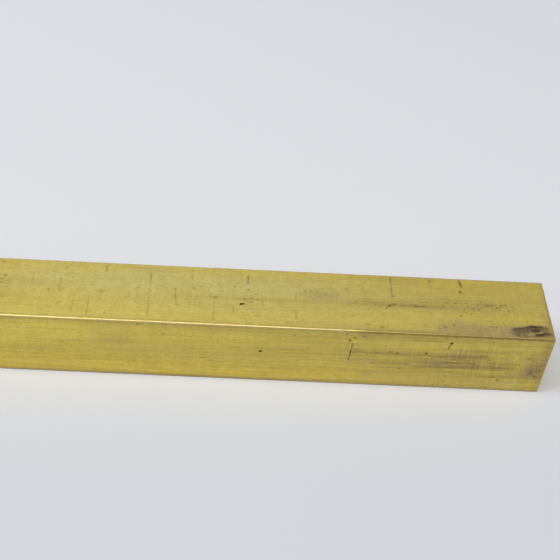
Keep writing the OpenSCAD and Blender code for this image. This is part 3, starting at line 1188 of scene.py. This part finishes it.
def filmed_tone(board, finish, grain, share, patchy):
    """The drawn metal's colour with its films. Gives also how much brown film lies on it."""
    golden = board.step(grain["blotches"], 0.36, 0.66, 0.0, 0.16)
    tone = board.blend(golden, linear(finish.brass), linear(finish.gold_brass))
    tone = board.blend(board.times(share["straw"], patchy), tone, linear(finish.gold_brass))
    tone = board.blend(board.times(share["haze"], patchy, 0.9), tone, linear(finish.hazed_brass))
    tone = board.blend(share["clean"], tone, linear(finish.clean_brass))
    tone = board.blend(board.times(share["mauve"], patchy), tone, linear(finish.mauve_film))
    streaky = board.maths("ADD", board.times(grain["streaks"], 0.5), board.times(grain["mottle"], 0.5))
    film = board.times(share["tarnish"], board.step(streaky, 0.36, 0.64, 0.3, 1.6))
    film = board.maths("ADD", film, board.step(grain["streaks"], 0.42, 0.75, 0.0, 0.20), clamp=True)
    return board.blend(film, tone, linear(finish.tarnish)), film


def drawn_shade(board, grain, share):
    """How the drawing lines, the mottle and the scuffs darken and lighten the drawn metal."""
    lines = board.step(grain["drawn_lines"], 0.30, 0.70, 0.955, 1.045)
    mottle = board.step(grain["mottle"], 0.28, 0.72, 0.93, 1.07)
    blotches = board.step(grain["blotches"], 0.30, 0.70, 0.95, 1.05)
    cross_lines = board.step(grain["cross_lines"], 0.25, 0.75, 0.965, 1.035)
    scuffs = board.times(share["scuff"], board.step(grain["scratches"], 0.30, 0.70, -0.11, 0.11))
    return board.times(lines, mottle, blotches, cross_lines, board.maths("ADD", scuffs, 1.0))


def soiled_tone(board, finish, grain, share, tone, taken, patchy):
    """The tone with its flecks, smudges and dirt. Gives also how much dirt lies on it."""
    # Flecks of dirt and of bare metal are thickest in the tarnish and the greyish stains
    thick = board.maths("ADD", share["tarnish"], board.times(share["mauve"], 0.6), clamp=True)
    specks = board.step(board.maths("ADD", grain["flecks"], board.times(thick, 0.12)), 0.66, 0.76, 0.0, 0.42)
    bare = board.maths("SUBTRACT", board.times(thick, 0.05), grain["flecks"])
    bare = board.times(board.step(bare, -0.36, -0.30), thick, 0.35)
    tone = board.blend(bare, tone, linear(finish.clean_brass))

    uneven = board.times(board.maths("SUBTRACT", taken, 0.5), 1.1)
    smudge = board.step(board.maths("ADD", share["grime"], uneven), 0.08, 0.95)
    smudge = board.times(smudge, board.step(share["grime"], 0.02, 0.2))
    tone = board.blend(smudge, tone, linear(finish.grime))
    tone = board.blend(board.times(share["copper"], patchy), tone, linear(finish.copper_film))
    dirt = board.maths("MAXIMUM", share["soil"], specks, clamp=True)
    tone = board.blend(dirt, tone, linear(finish.dirt))
    return tone, board.maths("MAXIMUM", dirt, smudge, clamp=True)


def drawn_brass(finish):
    """The long faces: satin metal drawn lengthwise, with its tarnish, dirt and handling marks."""
    material, board = new_board("drawn_brass")
    grain = grains_on_bar(board, DRAWN_GRAINS)
    share = {kind: board.share(kind) for kind in SHARE_KINDS}

    # How patchy every film is: the blotches and the mottle decide where it has taken
    taken = board.maths("ADD", board.times(grain["blotches"], 0.6), board.times(grain["mottle"], 0.4))
    patchy = board.step(taken, 0.32, 0.68, 0.45, 1.4)
    tone, film = filmed_tone(board, finish, grain, share, patchy)
    tone = board.shaded(tone, drawn_shade(board, grain, share))
    tone, dirt = soiled_tone(board, finish, grain, share, tone, taken, patchy)
    # Painted shade on the seen long corner, in the tarnish colour, where its reflection fades
    tone = board.blend(share["painted_edge_shade"], tone, linear(finish.tarnish))
    tone = board.blend(board.times(share["edge_wear"], 0.8), tone, linear(finish.worn_edge))

    rough = board.step(grain["streaks"], 0.3, 0.7, finish.satin - 0.04, finish.satin + 0.04)
    rough = board.maths("ADD", rough, board.times(film, 0.12))
    rough = board.maths("ADD", rough, board.times(dirt, 0.25), clamp=True)
    relief = board.maths("ADD", board.times(grain["drawn_lines"], 0.35), board.times(grain["mottle"], 0.5))
    relief = board.maths("ADD", relief, board.times(grain["cross_lines"], 0.3))
    relief = board.maths("SUBTRACT", relief, board.times(dirt, 0.8))
    board.finish_with(tone, rough, relief, 0.03, 0.6)
    return material


def sawn_brass(finish):
    """The sawn ends: fresh paler metal with the saw's fine lines and a few stains."""
    material, board = new_board("sawn_brass")
    grain = grains_on_bar(board, SAWN_GRAINS)

    tone = board.step(grain["broad_lines"], 0.35, 0.65)
    tone = board.blend(tone, linear(finish.cut_brass), linear(finish.brass))
    film = board.step(grain["stains"], 0.48, 0.72, 0.0, 0.55)
    tone = board.blend(film, tone, linear(finish.copper_film))
    tone = board.shaded(tone, board.step(grain["cut_lines"], 0.30, 0.70, 0.84, 1.12))
    specks = board.step(grain["flecks"], 0.70, 0.78, 0.0, 0.5)
    tone = board.blend(specks, tone, linear(finish.dirt))

    rough = board.step(grain["cut_lines"], 0.3, 0.7, 0.36, 0.48)
    rough = board.maths("ADD", rough, board.times(film, 0.15), clamp=True)
    relief = board.maths("ADD", grain["cut_lines"], grain["broad_lines"])
    board.finish_with(tone, rough, relief, 0.05, 0.8)
    return material


def length_property(name, description, default):
    """A length, given in millimetres and kept in metres."""
    settings = {"default": default * MM, "unit": "LENGTH", "precision": 6}
    return FloatProperty(name=name, description=description, **settings)


def level_property(name, description, default, **settings):
    """A number from 0 up."""
    return FloatProperty(name=name, description=description, default=default, min=0, **settings)


def colour_property(name, description, default):
    """A colour."""
    settings = {"subtype": "COLOR", "default": default, "min": 0, "max": 1}
    return FloatVectorProperty(name=name, description=description, **settings)


class BarShape(bpy.types.PropertyGroup):
    """Sizes of the bar's skin that aren't in the frame."""

    corner_radius: length_property("Corner radius", "Radius of the long corners", 0.4)
    corner_steps: IntProperty(
        name="Corner steps",
        description="Short arcs in a long corner",
        default=6,
        min=2,
    )
    end_break: length_property("End break", "Size of the filed edge of an end", 0.35)
    grid_step: length_property("Grid step", "Distance between the points of a face", 0.85)
    saw_depth: length_property("Saw depth", "Depth of the saw's ridges", 0.04)
    saw_pitch: length_property("Saw pitch", "Distance between the saw's ridges", 0.8)


class BarFinish(bpy.types.PropertyGroup):
    """Colours and gloss of the metal."""

    brass: colour_property("Brass", "The drawn metal", (0.64, 0.515, 0.125))
    gold_brass: colour_property("Gold brass", "Where the film is straw yellow", (0.67, 0.515, 0.092))
    hazed_brass: colour_property("Hazed brass", "Where the metal is dull and pale", (0.62, 0.54, 0.19))
    tarnish: colour_property("Tarnish", "Brown film", (0.29, 0.215, 0.075))
    mauve_film: colour_property("Mauve film", "Greyish stain", (0.41, 0.31, 0.155))
    clean_brass: colour_property("Clean brass", "Where the film is rubbed off", (0.80, 0.655, 0.13))
    cut_brass: colour_property("Cut brass", "The sawn metal", (0.70, 0.57, 0.18))
    copper_film: colour_property("Copper film", "Brown film along the sawn edges", (0.44, 0.28, 0.13))
    dirt: colour_property("Dirt", "Dirt in scratches and pits", (0.078, 0.050, 0.009))
    grime: colour_property("Grime", "Grey smudges of handling", (0.080, 0.055, 0.031))
    worn_edge: colour_property("Worn edge", "Bright metal along the corners", (0.595, 0.468, 0.245))
    satin: FloatProperty(
        name="Satin",
        description="Roughness of the drawn metal",
        default=0.38,
        min=0.05,
        max=1,
    )


class StudioLook(bpy.types.PropertyGroup):
    """The floor, the light and the camera."""

    floor_colour: colour_property("Floor", "Colour of the floor", (0.746, 0.762, 0.812))
    # The floor behind is painted lighter: painted light, since the lamps hang in front and light it less
    floor_behind_painted_light: colour_property("Floor behind", "Colour of the floor behind the bar", (0.838, 0.85, 0.885))
    sky_colour: colour_property("Sky colour", "Tint of the surround", (0.945, 0.962, 1.0))
    sky_level: level_property("Sky level", "Brightness where it is brightest", 1.0)
    sky_dim: level_property("Sky dim", "Brightness on the far side from that", 0.52)
    sky_brightest: FloatVectorProperty(
        name="Brightest way",
        description="Where the surround is brightest",
        subtype="DIRECTION",
        default=(-0.75, 0.1, 0.65),
    )
    floor_sky: level_property("Floor sky", "Brightness of the surround on the floor", 0.20)
    long_power: level_property("Long lamp", "Power of the long lamp", 38.4, unit="POWER")
    right_power: level_property("Right lamp", "Power of the right lamp", 30.0, unit="POWER")
    lens: FloatProperty(
        name="Lens",
        description="Camera's focal length in mm",
        default=61.54,
        min=10,
        max=300,
    )


class BRASSBAR_OT_drawn_bar(bpy.types.Operator):
    """Builds the drawn bar with its filed and sawn ends"""

    bl_idname = "brassbar.drawn_bar"
    bl_label = "Drawn Bar"
    bl_options = {"REGISTER", "UNDO"}

    def execute(self, context):
        shape, finish = context.scene.brassbar_shape, context.scene.brassbar_finish
        mesh = skin_mesh(shape)
        mesh.materials.append(drawn_brass(finish))
        mesh.materials.append(sawn_brass(finish))
        bar = bpy.data.objects.new("drawn_bar", mesh)
        context.scene.collection.objects.link(bar)
        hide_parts("bar")
        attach(bar, "root")
        return {"FINISHED"}


class BRASSBAR_OT_studio(bpy.types.Operator):
    """Sets the floor, the light and the camera"""

    bl_idname = "brassbar.studio"
    bl_label = "Studio"
    bl_options = {"REGISTER", "UNDO"}

    def execute(self, context):
        look = context.scene.brassbar_studio
        lay_floor(context, look)
        hang_lamps(context, look)
        set_sky(context, look)
        place_camera(context, look)
        context.scene.view_settings.view_transform = "Standard"
        return {"FINISHED"}


# Places and distances in the studio are in metres. The floor reaches this far each way
FLOOR_REACH = 6.0
# It fades into the surround between these distances from the bar
FLOOR_FADES = (0.5, 1.8)
# Its colour turns from that in front to the lighter one behind between these places across the bar: painted
# light, since the lamps hang in front
FLOOR_TURNS = (-0.05, 0.07)
# The surround goes from its dimmest to its brightest between these cosines of the angle from its brightest
SKY_TURNS = (-0.2, 1.0)

# Each lamp: its place, the point that it faces, its length along the bar and its width. The long lamp hangs
# over the bar's left, a little in front of it, and the right one far past its right-hand end.
LONG_LAMP = ((-1.4, -0.25, 1.8), (-1.4, -0.25, 0), (3.6, 0.8))
RIGHT_LAMP = ((2.6, -0.6, 2.1), (0, 0, 0), (1.5, 1.5))

# Where the camera stands, and how far it turns right, looks down and rolls, in degrees
CAMERA_PLACE = (60.3 * MM, -212.5 * MM, 241.4 * MM)
CAMERA_TURN, CAMERA_DOWN, CAMERA_ROLL = 1.617, 44.37, 3.783
# Width of its sensor in millimetres, and the nearest and furthest that it sees
CAMERA_SENSOR = 36
CAMERA_CLIPS = (0.01, 50)


def sky_level(board, ways, look):
    """How bright the surround is in the directions that ways gives."""
    brightest = Vector(look.sky_brightest).normalized()
    toward = board.vector("DOT_PRODUCT", {0: ways, 1: brightest}, "Value")
    return board.step(toward, *SKY_TURNS, look.sky_dim, look.sky_level, "LINEAR")


def lay_floor(context, look):
    """A wide pale floor, which fades into the surround far from the bar. Behind the bar it is painted
    lighter, as painted light.
    """
    material, board = new_board("pale_floor")
    place = board.add("ShaderNodeTexCoord").outputs["Object"]
    across = board.add("ShaderNodeSeparateXYZ", {0: place}).outputs["Y"]
    # Painted light: the floor behind the bar gets the lighter colour
    behind = board.step(across, *FLOOR_TURNS)
    tone = board.blend(behind, linear(look.floor_colour), linear(look.floor_behind_painted_light))
    inputs = {"Base Color": tone, "Roughness": 0.9, "Specular IOR Level": 0.1}
    near = board.add("ShaderNodeBsdfPrincipled", inputs)
    level = sky_level(board, board.vector("NORMALIZE", {0: place}), look)
    far = board.add("ShaderNodeEmission", {"Color": linear(look.sky_colour), "Strength": level})
    distance = board.vector("LENGTH", {0: place}, "Value")
    share = board.times(board.seen(), board.step(distance, *FLOOR_FADES))
    mixed = board.add("ShaderNodeMixShader", {0: share, 1: near.outputs[0], 2: far.outputs[0]})
    board.add("ShaderNodeOutputMaterial", {"Surface": mixed.outputs[0]})

    mesh = bpy.data.meshes.new("floor")
    corners = [(x * FLOOR_REACH, y * FLOOR_REACH, 0) for x, y in ((-1, -1), (1, -1), (1, 1), (-1, 1))]
    mesh.from_pydata(corners, [], [(0, 1, 2, 3)])
    mesh.materials.append(material)
    floor = bpy.data.objects.new("floor", mesh)
    context.scene.collection.objects.link(floor)


def hang_lamps(context, look):
    """The two soft lamps."""
    lamps = (("long_lamp", LONG_LAMP, look.long_power), ("right_lamp", RIGHT_LAMP, look.right_power))
    for name, (place, target, size), power in lamps:
        data = bpy.data.lights.new(name, "AREA")
        data.shape = "RECTANGLE"
        data.size, data.size_y = size
        data.energy = power
        light = bpy.data.objects.new(name, data)
        light.location = place
        light.rotation_mode = "QUATERNION"
        light.rotation_quaternion = (Vector(target) - Vector(place)).to_track_quat("-Z", "Y")
        context.scene.collection.objects.link(light)


def set_sky(context, look):
    """A pale surround. The camera and the metal see it bright, and the floor is lit by a dimmer one."""
    world = bpy.data.worlds.new("surround")
    context.scene.world = world
    world.use_nodes = True
    board = NodeBoard(world.node_tree)
    level = sky_level(board, board.add("ShaderNodeTexCoord").outputs["Generated"], look)
    extra = board.times(board.seen(), board.maths("SUBTRACT", level, look.floor_sky))
    strength = board.maths("ADD", extra, look.floor_sky)
    surround = board.add("ShaderNodeBackground", {"Color": linear(look.sky_colour), "Strength": strength})
    board.add("ShaderNodeOutputWorld", {"Surface": surround.outputs[0]})


def place_camera(context, look):
    """The camera looks down at the bar's right-hand end from in front."""
    data = bpy.data.cameras.new("camera")
    data.lens = look.lens
    data.sensor_width = CAMERA_SENSOR
    data.clip_start, data.clip_end = CAMERA_CLIPS
    camera = bpy.data.objects.new("camera", data)
    turn = Matrix.Rotation(math.radians(-CAMERA_TURN), 4, "Z")
    down = Matrix.Rotation(math.radians(90 - CAMERA_DOWN), 4, "X")
    roll = Matrix.Rotation(math.radians(CAMERA_ROLL), 4, "Z")
    camera.matrix_world = Matrix.Translation(CAMERA_PLACE) @ turn @ down @ roll
    context.scene.collection.objects.link(camera)
    context.scene.camera = camera


class BRASSBAR_PT_panel(bpy.types.Panel):
    """Lists the bar's operators and settings"""

    bl_idname = "BRASSBAR_PT_panel"
    bl_label = "Brass Bar"
    bl_space_type = "VIEW_3D"
    bl_region_type = "UI"
    bl_category = "Brass Bar"

    def draw(self, context):
        scene = context.scene
        for group in (scene.brassbar_shape, scene.brassbar_finish, scene.brassbar_studio):
            box = self.layout.box()
            for name in group.__annotations__:
                box.prop(group, name)
        self.layout.operator(BRASSBAR_OT_drawn_bar.bl_idname)
        self.layout.operator(BRASSBAR_OT_studio.bl_idname)


CLASSES = (
    BarShape,
    BarFinish,
    StudioLook,
    BRASSBAR_OT_drawn_bar,
    BRASSBAR_OT_studio,
    BRASSBAR_PT_panel,
)


def register():
    for cls in CLASSES:
        bpy.utils.register_class(cls)
    bpy.types.Scene.brassbar_shape = PointerProperty(type=BarShape)
    bpy.types.Scene.brassbar_finish = PointerProperty(type=BarFinish)
    bpy.types.Scene.brassbar_studio = PointerProperty(type=StudioLook)


def unregister():
    del bpy.types.Scene.brassbar_shape
    del bpy.types.Scene.brassbar_finish
    del bpy.types.Scene.brassbar_studio
    for cls in reversed(CLASSES):
        bpy.utils.unregister_class(cls)


def main():
    """Builds the bar and its studio."""
    register()
    bpy.ops.brassbar.drawn_bar()
    bpy.ops.brassbar.studio()


if __name__ == "__main__":
    main()
